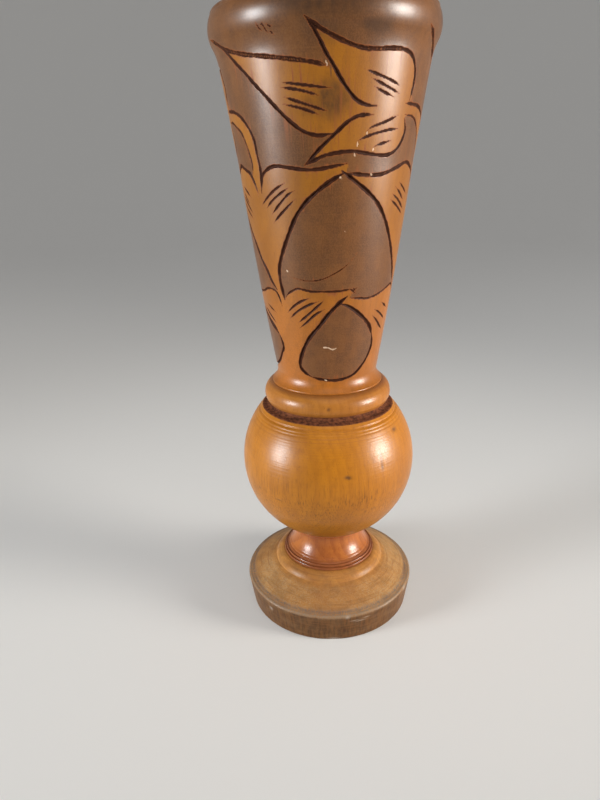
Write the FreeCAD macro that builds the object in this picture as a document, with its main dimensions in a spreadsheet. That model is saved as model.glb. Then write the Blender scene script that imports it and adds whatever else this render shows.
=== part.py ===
"""Turned wooden goblet: a round foot, a stem, a ball knop, a collar and a deep cup on loose dowels.

The goblet stands on its foot with its axis on +Z and the centre of its underside at the origin.
Every turned piece is bored on its axis, and two fluted dowels carry the glued stack:
one goes from the foot through the stem into the knop, one from the knop through the collar into the cup.
"""

import FreeCAD, Part

import math
import os

import Sketcher

SHEET = "Sizes"

SIZES = {
    # Foot: a flared disc with a low cone, a dome and a flat seat on top.
    "foot_ground_radius": 46.0,
    "foot_rim_radius": 48.4,
    "foot_side_height": 16.0,
    "foot_edge_round": 1.6,
    "foot_ground_bevel": 0.8,
    "foot_dome_width": 4.6,
    "foot_cone_rise": 8.7,
    "foot_dome_rise": 4.5,
    "foot_dome_round": 7.0,
    "foot_seat_margin": 0.8,
    "foot_recess_radius": 34.0,
    "foot_recess_depth": 1.5,
    # Stem: a short waisted spool with two beads at its base.
    "stem_height": 18.1,
    "stem_base_radius": 26.0,
    "stem_bead_height": 1.5,
    "stem_bead_step": 0.9,
    "stem_top_radius": 18.5,
    "stem_top_land": 2.0,
    # Knop: a ball with a flat seat below and a raised seat inside a dark groove on top.
    "knop_radius": 47.0,
    "knop_seat_margin": 0.3,
    "knop_shoulder_radius": 35.0,
    "knop_groove_height": 3.0,
    "knop_groove_depth": 3.6,
    "knop_line_drop": 2.4,
    "knop_line_depth": 0.5,
    "knop_line_width": 0.9,
    # Collar: a fat bead between the knop and the cup.
    "collar_height": 10.4,
    "collar_base_radius": 32.4,
    "collar_round": 7.0,
    # Cup: a flared wall over a small cove, with a rolled lip.
    "bowl_height": 168.0,
    "bowl_base_radius": 29.0,
    "bowl_base_land": 0.8,
    "bowl_cove_height": 5.8,
    "bowl_waist_radius": 26.1,
    "bowl_belly_height": 107.0,
    "bowl_belly_radius": 40.9,
    "bowl_wall_bow": 2100.0,
    "bowl_neck_drop": 21.2,
    "bowl_neck_radius": 47.1,
    "bowl_flare_round": 24.0,
    "bowl_lip_height": 13.3,
    "bowl_lip_radius": 49.8,
    "bowl_lip_round": 12.9,
    "bowl_rim_round": 2.0,
    "bowl_wall": 6.6,
    "bowl_floor": 9.5,
    "bowl_floor_rise": 13.0,
    # Dowels: fluted, with bevelled ends, each in bores that leave room for the glue.
    "stem_dowel_radius": 8.0,
    "stem_dowel_in_foot": 20.0,
    "stem_dowel_in_knop": 26.0,
    "bowl_dowel_radius": 10.0,
    "bowl_dowel_in_knop": 30.0,
    "bowl_dowel_in_bowl": 16.0,
    "dowel_bevel": 1.5,
    "dowel_flute_radius": 1.0,
    "glue_gap": 0.1,
    "glue_pocket": 1.5,
}

FLUTE_COUNT = 8
FULL_TURN = 360.0


class Length:
    """A size that knows its value and the sheet expression that gives it."""

    def __init__(self, value, formula):
        self.value = value
        self.formula = formula

    @staticmethod
    def of(thing):
        """The thing itself if it is a Length, or the plain number as one."""
        if isinstance(thing, Length):
            return thing
        return Length(float(thing), str(thing))

    def __add__(self, other):
        other = Length.of(other)
        return Length(self.value + other.value, f"({self.formula} + {other.formula})")

    def __sub__(self, other):
        other = Length.of(other)
        return Length(self.value - other.value, f"({self.formula} - {other.formula})")

    def __mul__(self, other):
        other = Length.of(other)
        return Length(self.value * other.value, f"({self.formula} * {other.formula})")

    def __truediv__(self, other):
        other = Length.of(other)
        return Length(self.value / other.value, f"({self.formula} / {other.formula})")

    def root(self):
        """The square root."""
        return Length(math.sqrt(self.value), f"sqrt({self.formula})")


class Sizes:
    """The driving sizes as Lengths, and the heights at which the pieces meet."""

    def __init__(self):
        for name, value in SIZES.items():
            setattr(self, name, Length(value, f"{SHEET}.{name}"))
        self.foot_crease = self.foot_side_height + self.foot_edge_round + self.foot_cone_rise
        self.foot_top = self.foot_crease + self.foot_dome_rise
        self.stem_top = self.foot_top + self.stem_height
        self.knop_seat_radius = self.stem_top_radius + self.knop_seat_margin
        self.knop_centre = self.stem_top + height_on_ball(self.knop_radius, self.knop_seat_radius)
        self.knop_shoulder = self.knop_centre + height_on_ball(self.knop_radius, self.knop_shoulder_radius)
        self.knop_top = self.knop_shoulder + self.knop_groove_height
        self.bowl_base = self.knop_top + self.collar_height
        self.bowl_top = self.bowl_base + self.bowl_height
        self.collar_top_radius = self.bowl_base_radius
        self.stem_bore_radius = self.stem_dowel_radius + self.glue_gap
        self.bowl_bore_radius = self.bowl_dowel_radius + self.glue_gap


class Arc:
    """A round stretch of an outline, bulging away from the axis or hollowed towards it."""

    def __init__(self, radius, bulges):
        self.radius = radius
        self.bulges = bulges


def height_on_ball(ball_radius, circle_radius):
    """How far from the ball's centre it has a circle of this radius."""
    return (ball_radius * ball_radius - circle_radius * circle_radius).root()


def round_onto_wall(width, rise):
    """The radius of an arc that crosses this width and rise and ends along an upright wall."""
    return (width * width + rise * rise) / (width * 2)


# Document, sheet and sketches


def make_sheet(doc):
    """Write every driving size into the sheet as a plain number with an alias."""
    sheet = doc.addObject("Spreadsheet::Sheet", SHEET)
    for row, (name, value) in enumerate(SIZES.items(), start=1):
        sheet.set(f"A{row}", name)
        sheet.set(f"B{row}", str(value))
        sheet.setAlias(f"B{row}", name)
    doc.recompute()


def new_body(doc, name):
    """An empty body whose label names the piece."""
    body = doc.addObject("PartDesign::Body", name)
    body.Label = name
    return body


def new_sketch(body, name, plane, height=None):
    """A sketch on one of the body's own origin planes, raised to a height if one is given."""
    sketch = body.newObject("Sketcher::SketchObject", name)
    support = next(item for item in body.Origin.OriginFeatures if item.Role == plane)
    sketch.AttachmentSupport = [(support, "")]
    sketch.MapMode = "FlatFace"
    if height is not None:
        sketch.setExpression("AttachmentOffset.Base.z", height.formula)
    return sketch


def bind(sketch, constraint, length):
    """Add a sketch constraint that follows the sheet."""
    index = sketch.addConstraint(constraint)
    sketch.setExpression(f"Constraints[{index}]", length.formula)


def arc_between(start, end, arc):
    """The circle arc from start to end, and whether it runs anticlockwise."""
    chord = end - start
    radius = arc.radius.value
    middle = (start + end) * 0.5
    across = FreeCAD.Vector(-chord.y, chord.x, 0).normalize()
    reach = math.sqrt(radius ** 2 - (chord.Length / 2) ** 2)
    # An outline climbs anticlockwise on the outside, so its bulges turn to the left.
    side = 1 if arc.bulges else -1
    centre = middle + across * (side * reach)
    first = math.atan2(start.y - centre.y, start.x - centre.x)
    last = math.atan2(end.y - centre.y, end.x - centre.x)
    if side < 0:
        first, last = last, first
    circle = Part.Circle(centre, FreeCAD.Vector(0, 0, 1), radius)
    return Part.ArcOfCircle(circle, first, last if last > first else last + 2 * math.pi), side > 0


def place_corner(sketch, edge, vertex, radius, height):
    """Hold one corner of an outline at its radius and height."""
    if radius is None:
        sketch.addConstraint(Sketcher.Constraint("PointOnObject", edge, vertex, -2))
    else:
        bind(sketch, Sketcher.Constraint("DistanceX", -1, 1, edge, vertex, radius.value), radius)
    if height is None:
        sketch.addConstraint(Sketcher.Constraint("PointOnObject", edge, vertex, -1))
    else:
        bind(sketch, Sketcher.Constraint("DistanceY", -1, 1, edge, vertex, height.value), height)


def draw_outline(sketch, outline):
    """Draw a closed outline of (radius, height) corners; an Arc between two corners joins them roundly.

    A radius of None is on the axis, and a height of None is on the ground.
    """
    corners = []
    rounds = {}
    for item in outline:
        if isinstance(item, Arc):
            rounds[len(corners) - 1] = item
        else:
            corners.append(item)
    points = []
    for radius, height in corners:
        points.append(FreeCAD.Vector(radius.value if radius else 0, height.value if height else 0, 0))
    ends = []
    for number, start in enumerate(points):
        end = points[(number + 1) % len(points)]
        if number in rounds:
            curve, forward = arc_between(start, end, rounds[number])
            edge = sketch.addGeometry(curve, False)
            radius = rounds[number].radius
            bind(sketch, Sketcher.Constraint("Radius", edge, radius.value), radius)
            ends.append((edge, 1, 2) if forward else (edge, 2, 1))
        else:
            edge = sketch.addGeometry(Part.LineSegment(start, end), False)
            ends.append((edge, 1, 2))
    for number, (edge, _, last) in enumerate(ends):
        following, first, _ = ends[(number + 1) % len(ends)]
        sketch.addConstraint(Sketcher.Constraint("Coincident", edge, last, following, first))
    for (edge, first, _), (radius, height) in zip(ends, corners):
        place_corner(sketch, edge, first, radius, height)


def turn(body, kind, name, outline):
    """Turn an outline about the axis, as wood that stays (Revolution) or is cut away (Groove)."""
    sketch = new_sketch(body, name + "_outline", "XZ_Plane")
    draw_outline(sketch, outline)
    feature = body.newObject("PartDesign::" + kind, name)
    feature.Profile = sketch
    feature.ReferenceAxis = (sketch, ["V_Axis"])
    feature.Angle = FULL_TURN
    body.Document.recompute()
    return feature


def bore(body, name, radius, low, high):
    """Bore a flat-bottomed hole on the axis between two heights."""
    before = body.Shape.Volume
    turn(body, "Groove", name, [(None, low), (radius, low), (radius, high), (None, high)])
    if body.Shape.Volume >= before:
        raise RuntimeError(f"{name} cut nothing")


# Pieces, from the ground up


def make_foot(doc, size):
    """The flared disc, its cone and dome, the hollow underneath and the dowel's mortise."""
    edge = size.foot_edge_round
    seat_radius = size.stem_base_radius + size.foot_seat_margin
    crease_radius = seat_radius + size.foot_dome_width
    body = new_body(doc, "foot")
    turn(body, "Revolution", "foot_turning", [
        (None, size.foot_recess_depth),
        (size.foot_recess_radius, size.foot_recess_depth),
        (size.foot_recess_radius, None),
        (size.foot_ground_radius - size.foot_ground_bevel, None),
        (size.foot_ground_radius, size.foot_ground_bevel),
        (size.foot_rim_radius, size.foot_side_height),
        Arc(edge, bulges=True),
        (size.foot_rim_radius - edge, size.foot_side_height + edge),
        (crease_radius, size.foot_crease),
        Arc(size.foot_dome_round, bulges=True),
        (seat_radius, size.foot_top),
        (None, size.foot_top),
    ])
    bore(body, "foot_mortise", size.stem_bore_radius,
         size.foot_top - size.stem_dowel_in_foot - size.glue_pocket, size.foot_top)
    return body


def make_stem(doc, size):
    """The waisted spool, with two stepped beads where it stands on the foot."""
    base = size.foot_top
    bead = size.stem_bead_height
    step = size.stem_bead_step
    lower = size.stem_base_radius
    upper = lower - step
    hollow_base = upper - step
    hollow_top = size.stem_top - size.stem_top_land
    hollow_round = round_onto_wall(hollow_base - size.stem_top_radius, hollow_top - (base + bead * 2))
    body = new_body(doc, "stem")
    turn(body, "Revolution", "stem_turning", [
        (None, base),
        (lower, base),
        Arc(bead, bulges=True),
        (lower, base + bead),
        (upper, base + bead),
        Arc(bead, bulges=True),
        (upper, base + bead * 2),
        (hollow_base, base + bead * 2),
        Arc(hollow_round, bulges=False),
        (size.stem_top_radius, hollow_top),
        (size.stem_top_radius, size.stem_top),
        (None, size.stem_top),
    ])
    bore(body, "stem_bore", size.stem_bore_radius, base, size.stem_top)
    return body


def make_knop(doc, size):
    """The ball, flat below, with a groove and a raised seat above and a line scored round its top."""
    boss_radius = size.knop_shoulder_radius - size.knop_groove_depth
    line = size.knop_shoulder - size.knop_line_drop
    half_width = size.knop_line_width / 2
    rise = line - size.knop_centre
    above = (size.knop_radius * size.knop_radius - (rise + half_width) * (rise + half_width)).root()
    below = (size.knop_radius * size.knop_radius - (rise - half_width) * (rise - half_width)).root()
    body = new_body(doc, "knop")
    turn(body, "Revolution", "knop_turning", [
        (None, size.stem_top),
        (size.knop_seat_radius, size.stem_top),
        Arc(size.knop_radius, bulges=True),
        (below, line - half_width),
        ((above + below) / 2 - size.knop_line_depth, line),
        (above, line + half_width),
        Arc(size.knop_radius, bulges=True),
        (size.knop_shoulder_radius, size.knop_shoulder),
        (boss_radius, size.knop_shoulder),
        (boss_radius, size.knop_top),
        (None, size.knop_top),
    ])
    bore(body, "knop_lower_mortise", size.stem_bore_radius,
         size.stem_top, size.stem_top + size.stem_dowel_in_knop + size.glue_pocket)
    bore(body, "knop_upper_mortise", size.bowl_bore_radius,
         size.knop_top - size.bowl_dowel_in_knop - size.glue_pocket, size.knop_top)
    return body


def make_collar(doc, size):
    """The fat bead, bored through for the cup's dowel."""
    body = new_body(doc, "collar")
    turn(body, "Revolution", "collar_turning", [
        (None, size.knop_top),
        (size.collar_base_radius, size.knop_top),
        Arc(size.collar_round, bulges=True),
        (size.collar_top_radius, size.bowl_base),
        (None, size.bowl_base),
    ])
    bore(body, "collar_bore", size.bowl_bore_radius, size.knop_top, size.bowl_base)
    return body


def make_bowl(doc, size):
    """The flared cup with its rolled lip, hollowed from the top and bored from below."""
    base = size.bowl_base
    land = base + size.bowl_base_land
    waist = land + size.bowl_cove_height
    belly = base + size.bowl_belly_height
    neck = size.bowl_top - size.bowl_neck_drop
    lip = size.bowl_top - size.bowl_lip_height
    rim = size.bowl_rim_round
    cove_round = round_onto_wall(size.bowl_base_radius - size.bowl_waist_radius, size.bowl_cove_height)
    body = new_body(doc, "bowl")
    turn(body, "Revolution", "bowl_turning", [
        (None, base),
        (size.bowl_base_radius, base),
        (size.bowl_base_radius, land),
        Arc(cove_round, bulges=False),
        (size.bowl_waist_radius, waist),
        Arc(size.bowl_wall_bow, bulges=True),
        (size.bowl_belly_radius, belly),
        (size.bowl_neck_radius, neck),
        Arc(size.bowl_flare_round, bulges=False),
        (size.bowl_lip_radius, lip),
        Arc(size.bowl_lip_round, bulges=True),
        (size.bowl_lip_radius, size.bowl_top - rim),
        Arc(rim, bulges=True),
        (size.bowl_lip_radius - rim, size.bowl_top),
        (None, size.bowl_top),
    ])
    wall = size.bowl_wall
    floor = base + size.bowl_dowel_in_bowl + size.glue_pocket + size.bowl_floor
    floor_edge = floor + size.bowl_floor_rise
    # The wall inside runs straight from the neck down to where the floor begins to round in.
    slope = (size.bowl_neck_radius - size.bowl_waist_radius) / (neck - waist)
    floor_radius = size.bowl_waist_radius - wall + slope * (floor_edge - waist)
    rise = size.bowl_floor_rise
    floor_round = (floor_radius * floor_radius + rise * rise) / (rise * 2)
    mouth_radius = size.bowl_lip_radius - wall
    turn(body, "Groove", "bowl_hollow", [
        (None, floor),
        Arc(floor_round, bulges=True),
        (floor_radius, floor_edge),
        (size.bowl_neck_radius - wall, neck),
        (mouth_radius, size.bowl_top - rim),
        (mouth_radius + rim, size.bowl_top + rim),
        (None, size.bowl_top + rim),
    ])
    bore(body, "bowl_mortise", size.bowl_bore_radius,
         base, base + size.bowl_dowel_in_bowl + size.glue_pocket)
    return body


def make_dowel(doc, size, name, radius, low, high):
    """A bevelled dowel with flutes that let the glue past."""
    bevel = size.dowel_bevel
    body = new_body(doc, name)
    turn(body, "Revolution", name + "_turning", [
        (None, low),
        (radius - bevel, low),
        (radius, low + bevel),
        (radius, high - bevel),
        (radius - bevel, high),
        (None, high),
    ])
    before = body.Shape.Volume
    sketch = new_sketch(body, name + "_flute_outline", "XY_Plane", low)
    centre = FreeCAD.Vector(radius.value, 0, 0)
    circle = Part.Circle(centre, FreeCAD.Vector(0, 0, 1), size.dowel_flute_radius.value)
    edge = sketch.addGeometry(circle, False)
    bind(sketch, Sketcher.Constraint("Radius", edge, size.dowel_flute_radius.value), size.dowel_flute_radius)
    place_corner(sketch, edge, 3, radius, None)
    flute = body.newObject("PartDesign::Pocket", name + "_flute")
    flute.Profile = sketch
    flute.Reversed = True
    flute.setExpression("Length", (high - low).formula)
    doc.recompute()
    pattern = body.newObject("PartDesign::PolarPattern", name + "_flutes")
    pattern.Originals = [flute]
    pattern.Axis = (sketch, ["N_Axis"])
    pattern.Angle = FULL_TURN
    pattern.Occurrences = FLUTE_COUNT
    body.Tip = pattern
    doc.recompute()
    flute_share = math.pi * size.dowel_flute_radius.value ** 2 / 2 * (high.value - low.value)
    if before - body.Shape.Volume < 0.5 * FLUTE_COUNT * flute_share:
        raise RuntimeError(f"{name} is missing flutes")
    return body


def make_pieces(doc, size):
    """Every piece of the goblet, from the ground up."""
    return [
        make_foot(doc, size),
        make_stem(doc, size),
        make_dowel(doc, size, "stem_dowel", size.stem_dowel_radius,
                   size.foot_top - size.stem_dowel_in_foot, size.stem_top + size.stem_dowel_in_knop),
        make_knop(doc, size),
        make_collar(doc, size),
        make_dowel(doc, size, "bowl_dowel", size.bowl_dowel_radius,
                   size.knop_top - size.bowl_dowel_in_knop, size.bowl_base + size.bowl_dowel_in_bowl),
        make_bowl(doc, size),
    ]


# Checks and files


def check_document(doc):
    """Stop if any object failed or any sketch is not fully held."""
    for item in doc.Objects:
        if "Invalid" in item.State or "Error" in item.State:
            raise RuntimeError(f"{item.Name} failed: {item.State}")
        if item.isDerivedFrom("Sketcher::SketchObject") and item.solve() != 0:
            raise RuntimeError(f"{item.Name} does not solve")


def check_piece(body):
    """Stop unless the piece is one valid closed solid."""
    shape = body.Shape
    if shape.isNull() or not shape.isValid() or len(shape.Solids) != 1:
        raise RuntimeError(f"{body.Label} is not one valid solid")


def write_pieces(pieces):
    """Write each piece as parts/NODE.step."""
    os.makedirs("parts", exist_ok=True)
    for body in pieces:
        body.Shape.exportStep(os.path.join("parts", body.Label + ".step"))


def main():
    """Build the goblet, check it and write its pieces."""
    doc = FreeCAD.newDocument("goblet")
    make_sheet(doc)
    size = Sizes()
    pieces = make_pieces(doc, size)
    doc.recompute()
    check_document(doc)
    for body in pieces:
        check_piece(body)
        box = body.Shape.optimalBoundingBox(True, False)
        print(f"{body.Label}: volume {body.Shape.Volume:.1f} mm3, z {box.ZMin:.2f} to {box.ZMax:.2f}, "
              f"width {box.XLength:.2f}")
    write_pieces(pieces)


main()
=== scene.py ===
import math

import bpy
import numpy as np
from mathutils import Matrix, Vector


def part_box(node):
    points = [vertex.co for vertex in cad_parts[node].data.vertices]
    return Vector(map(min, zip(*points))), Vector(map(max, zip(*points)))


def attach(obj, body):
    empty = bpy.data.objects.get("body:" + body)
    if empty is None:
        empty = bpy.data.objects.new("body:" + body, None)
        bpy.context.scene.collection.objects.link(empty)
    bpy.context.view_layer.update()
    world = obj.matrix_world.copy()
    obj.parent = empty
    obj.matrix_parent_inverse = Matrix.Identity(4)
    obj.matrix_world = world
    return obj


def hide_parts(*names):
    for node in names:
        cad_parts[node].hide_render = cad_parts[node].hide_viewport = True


MM = 0.001
RNG = np.random.default_rng(7)


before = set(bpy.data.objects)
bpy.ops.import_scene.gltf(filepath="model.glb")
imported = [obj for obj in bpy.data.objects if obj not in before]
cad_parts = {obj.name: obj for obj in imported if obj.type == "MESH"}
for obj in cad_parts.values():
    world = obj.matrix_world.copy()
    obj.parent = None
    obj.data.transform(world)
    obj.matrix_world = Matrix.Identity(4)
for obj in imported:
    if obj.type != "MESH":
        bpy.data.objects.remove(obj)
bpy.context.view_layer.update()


def base_of(node):
    """A node's lowest height, in mm."""
    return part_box(node)[0][2] / MM


def top_of(node):
    """A node's highest height, in mm."""
    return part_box(node)[1][2] / MM


# Outlines. A turned piece is an outline of (radius, height) in mm, from the axis out, up and back in.


def arc(start, end, radius, bulge=True, steps=24):
    """Points of a circle arc from start to end, without its start; it bulges outwards or hollows in."""
    start, end = np.array(start, float), np.array(end, float)
    chord = end - start
    length = np.hypot(*chord)
    side = 1 if bulge else -1
    across = np.array([-chord[1], chord[0]]) / length
    centre = (start + end) / 2 + across * side * math.sqrt(radius ** 2 - (length / 2) ** 2)
    first = math.atan2(*(start - centre)[::-1])
    turn = 2 * math.asin(length / 2 / radius) * side
    angles = first + turn * np.arange(1, steps + 1) / steps
    return [tuple(centre + radius * np.array([math.cos(a), math.sin(a)])) for a in angles]


def wall_arc(start, end, steps=24):
    """A hollow arc that ends along an upright wall."""
    width, rise = start[0] - end[0], end[1] - start[1]
    return arc(start, end, (width ** 2 + rise ** 2) / (2 * width), bulge=False, steps=steps)


def resample(points, step):
    """The outline with no stretch longer than step, keeping its corners."""
    result = [np.array(points[0], float)]
    for start, end in zip(points, points[1:]):
        start, end = np.array(start, float), np.array(end, float)
        count = max(1, math.ceil(np.hypot(*(end - start)) / step))
        for number in range(1, count + 1):
            result.append(start + (end - start) * number / count)
    return np.array(result)


# Meshes


def lathe(name, outline, columns, radius_change=None):
    """A closed turned solid whose first and last outline points are on the axis.

    radius_change(radius, height, angle) is added to the radius of each vertex, all in mm and radians.
    """
    rows = outline[1:-1]
    angle = np.arange(columns) * 2 * math.pi / columns - math.pi
    radius = np.repeat(rows[:, :1], columns, axis=1)
    height = np.repeat(rows[:, 1:], columns, axis=1)
    angle = np.repeat(angle[None, :], len(rows), axis=0)
    if radius_change is not None:
        radius = radius + radius_change(radius, height, angle)
    # Angle 0 faces -Y and grows towards +X.
    ring = np.stack([radius * np.sin(angle), -radius * np.cos(angle), height], axis=2).reshape(-1, 3)
    poles = np.array([[0, 0, outline[0][1]], [0, 0, outline[-1][1]]])
    vertices = np.concatenate([ring, poles]) * MM
    first_pole, last_pole = len(ring), len(ring) + 1
    here = np.arange(columns)
    following = (here + 1) % columns
    lower = (np.arange(len(rows) - 1) * columns)[:, None]
    quads = np.stack([lower + here, lower + following, lower + columns + following, lower + columns + here],
                     2)
    last = (len(rows) - 1) * columns
    start_fan = [(first_pole, int(b), int(a)) for a, b in zip(here, following)]
    end_fan = [(last_pole, int(last + a), int(last + b)) for a, b in zip(here, following)]
    mesh = bpy.data.meshes.new(name)
    mesh.from_pydata(vertices.tolist(), [], quads.reshape(-1, 4).tolist() + start_fan + end_fan)
    mesh.validate()
    mesh.shade_smooth()
    piece = bpy.data.objects.new(name, mesh)
    bpy.context.collection.objects.link(piece)
    return piece


def sharpen(piece, degrees=38):
    """Keep edges crisp where the surface turns by more than this."""
    piece.data.set_sharp_from_angle(angle=math.radians(degrees))


def adopt(piece, node, material):
    """Let the piece stand for a CAD node and wear a material."""
    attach(piece, "root")
    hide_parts(node)
    piece.data.materials.clear()
    piece.data.materials.append(material)


def set_field(piece, name, values):
    """Store one number per vertex for the materials to read."""
    field = piece.data.attributes.new(name, "FLOAT", "POINT")
    field.data.foreach_set("value", np.asarray(values, np.float32))


def vertex_polar(piece):
    """Each vertex's radius and height in mm, and its angle in radians."""
    count = len(piece.data.vertices)
    flat = np.empty(count * 3)
    piece.data.vertices.foreach_get("co", flat)
    x, y, z = flat.reshape(-1, 3).T / MM
    return np.hypot(x, y), z, np.arctan2(x, -y)


def smoothstep(low, high, value):
    """0 below low, 1 above high, and smooth between."""
    part = np.clip((value - low) / (high - low), 0, 1)
    return part * part * (3 - 2 * part)


def wobble(angle, height, seed, size):
    """A slow hand-made unevenness of up to size mm inwards."""
    rng = np.random.default_rng(seed)
    total = 0
    for turns in (1, 2, 3, 5):
        phase, climb = rng.uniform(0, 2 * math.pi), rng.uniform(-0.05, 0.05)
        total = total + np.sin(turns * angle + phase + climb * height) / turns
    return size * (total / 2.1 - 1) / 2


def scored(height, lines):
    """The depth of thin lines turned round a piece: (height, half width, depth) each."""
    depth = 0
    for middle, half_width, deep in lines:
        depth = depth + deep * np.exp(-((height - middle) / half_width) ** 2)
    return -depth


def nicks(radius, height, angle, marks):
    """Small dents: (angle in degrees, height, half width, half height, depth) each, in mm."""
    depth = 0
    for degrees, middle, half_width, half_height, deep in marks:
        aside = (np.mod(angle - math.radians(degrees) + math.pi, 2 * math.pi) - math.pi) * radius
        reach = (aside / half_width) ** 2 + ((height - middle) / half_height) ** 2
        depth = depth + deep * np.exp(-reach)
    return -depth


def worn(lines, dents, seed, size):
    """A radius change for lathe: turned lines, dents and a slow unevenness."""

    def change(radius, height, angle):
        return scored(height, lines) + nicks(radius, height, angle, dents) + wobble(angle, height, seed, size)

    return change


def mark_dents(piece, marks):
    """Store how deep in a dent each vertex is, 0 to 1."""
    radius, height, angle = vertex_polar(piece)
    flat_marks = [(*mark[:4], 1.0) for mark in marks]
    set_field(piece, "dent", np.clip(-nicks(radius, height, angle, flat_marks), 0, 1))


# The carving: strokes and outlines on the cup, as (degrees round from the front, height in mm)

LEAF_ONE_TOP = [(-76, 293), (-68, 290.3), (-62, 287.8), (-55, 286), (-45, 284), (-35, 282.6), (-25, 281.3),
                (-15, 280), (-8, 279), (-1, 277.6)]
LEAF_ONE_LOW = [(-63, 287.4), (-58, 284.8), (-52, 281), (-47, 277.8), (-42, 274), (-36, 269.6), (-30, 265),
                (-25, 261.3), (-20, 258), (-15, 255.4), (-10, 254), (-5, 253.5), (2, 254.2)]
LEAF_TWO_SIDE = [(-11, 293.6), (-8, 290.5), (-5, 286.5), (-2, 282), (1, 278.5), (5, 273.5), (9, 269.5),
                 (13, 266.3), (17, 264.7), (21, 264), (25.5, 263.9)]
LEAF_TWO_TOP = [(-11, 293.6), (-7, 291), (-3, 289), (2, 287), (8, 285), (15, 283.5), (22, 283.2), (30, 283.7),
                (38, 283.9), (44, 283), (48, 280.8), (50.5, 277.5), (51.3, 274), (50.8, 270), (49.3, 265.7)]
LEAF_THREE_TOP = [(-15, 242.3), (-11, 245), (-6, 248.5), (0, 252.3), (5, 255.5), (9, 258), (14, 260),
                  (19, 260.7), (24, 260.7)]
LEAF_THREE_LOW = [(-15, 242.3), (-9, 244.3), (-3, 246), (5, 247), (13, 247.3), (20, 246.6), (28, 245.8),
                  (35, 245.6), (41, 246.7), (46, 249.3), (49, 253), (49.5, 256), (47, 260)]
STALK_OUT = [(46, 265.3), (52, 265.3), (60, 265), (66, 264), (72, 262), (77, 258.5), (81, 253.5), (83.5, 247),
             (84.5, 241), (83, 236.5), (81.8, 232)]
STALK_IN = [(47, 261), (53, 261), (58, 260.2), (62, 258.8), (67, 256), (71, 252.3), (74.3, 247.5),
            (75.5, 243),
            (74.5, 239)]
HUMP_LEFT = [(-48.3, 232), (-47, 236), (-45, 239), (-42, 240.7), (-38, 242), (-33, 242.5), (-25, 241.8),
             (-15, 240.8), (-8, 240.8), (0, 241.6), (10, 242.8)]
HUMP_RIGHT = [(10, 239), (15, 238.7), (22, 238.1), (30, 238), (37, 238.7), (44, 240.2), (50, 241.5),
              (55, 242.6), (60, 242.6), (66, 241.2), (71, 239.6), (75, 236.5), (77.5, 231.5)]
LEAF_HATCHES = [
    [(-25, 273), (-15, 271.8), (-5, 270.6), (1, 270.2)], [(-25.5, 271.2), (-16, 270), (-5, 267.6)],
    [(-24.5, 268), (-15, 265.5), (-5, 263), (-1, 262.2)], [(-25, 265.4), (-15, 263.5), (-5, 260.8)],
    [(17, 276.5), (25, 274.7), (33, 273), (40, 271.2)], [(21, 273.6), (30, 271), (40, 268.5)],
    [(22, 271), (29, 268.8), (36.5, 267.2)], [(20.5, 254.8), (24, 256.4), (32, 258.2), (42, 261)],
    [(15.5, 251), (18, 252), (25, 253.7), (35, 255.2), (44, 256)], [(25.5, 248.6), (28, 249.5), (39, 251.5)],
]
ZONE_HATCHES = [
    [(-50, 226.3), (-44, 229.5), (-37, 232.8), (-28, 236)], [(-46, 225), (-38, 229.2), (-26, 234)],
    [(-41.5, 222.5), (-34, 227), (-27, 231), (-22, 232.8)], [(-41, 218.8), (-33, 223.3), (-22, 229.3)],
    [(52, 234.7), (58, 232.6), (67, 229.2)], [(48, 233), (55, 230), (62.5, 226.5)],
    [(45, 230.2), (53, 227.5), (65, 222.5)], [(44, 227.8), (52, 225), (64, 220.5)],
]
PETAL_LEFT = [(9, 239.4), (3, 237.2), (-3, 234.6), (-10, 231), (-17, 226.6), (-23, 221.5), (-29, 214.5),
              (-34, 208.5), (-38, 203.5), (-41, 198.5), (-41.6, 193), (-40.5, 188), (-39.5, 184)]
PETAL_RIGHT = [(7, 240), (12, 237.5), (18, 234.5), (25, 231), (32, 227), (39, 221.5), (46, 214.5), (52, 208),
               (57, 202.5), (62, 197), (66, 192.7), (71, 188.6)]
PETAL_CREASE = [(-35, 196), (-20, 194), (-8, 194.3), (3, 197), (12, 200.5), (20, 206)]
LOW_HUMP_LEFT = [(-38, 185.3), (-35, 187.3), (-30, 189), (-25, 190), (-15, 189), (-5, 188.8), (5, 188.8),
                 (14, 189.3), (20, 189)]
LOW_HUMP_RIGHT = [(16, 185.4), (25, 184.8), (32, 184.3), (40, 184.8), (50, 186.3), (58, 187.6), (65, 188.4),
                  (70, 187.4), (73.5, 185), (75.5, 180.5)]
LOW_HATCHES = [
    [(-38.5, 177.7), (-32, 181), (-24, 184), (-16, 185.8)],
    [(-36.5, 175), (-28, 179), (-18, 182.3), (-9, 184.4)],
    [(-28.5, 173.3), (-20, 177), (-12, 181), (-4.5, 184.9)],
    [(-27.5, 170.7), (-20, 174), (-12, 178), (-4, 180.6)],
    [(52, 180.7), (58, 178.9), (66, 176.5)], [(43, 177.9), (50, 176), (58, 173.2), (64, 171)],
    [(41, 175.3), (48, 172.2), (55, 168.8), (63, 165.6)],
]
SEED_LEFT = [(14.5, 186.4), (9, 184), (4, 181.2), (-2, 177.5), (-9, 172.3), (-15, 168.5), (-20, 165),
             (-25, 160.5), (-29, 156), (-31.4, 152), (-30.4, 149.4), (-26, 147.2), (-20, 145.4)]
SEED_LOW = [(-20, 145.4), (-10, 144.3), (0, 143.7), (10, 143.7), (20, 144.6), (28, 146.2), (35, 149.2),
            (40, 152), (44, 155.5), (46.3, 159), (45.8, 162.5), (43.5, 166.5)]
SEED_RIGHT = [(45, 164.5), (40, 169.5), (34, 173.3), (27, 176.7), (20, 179.7), (14, 181.8), (8, 182.8)]

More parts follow.
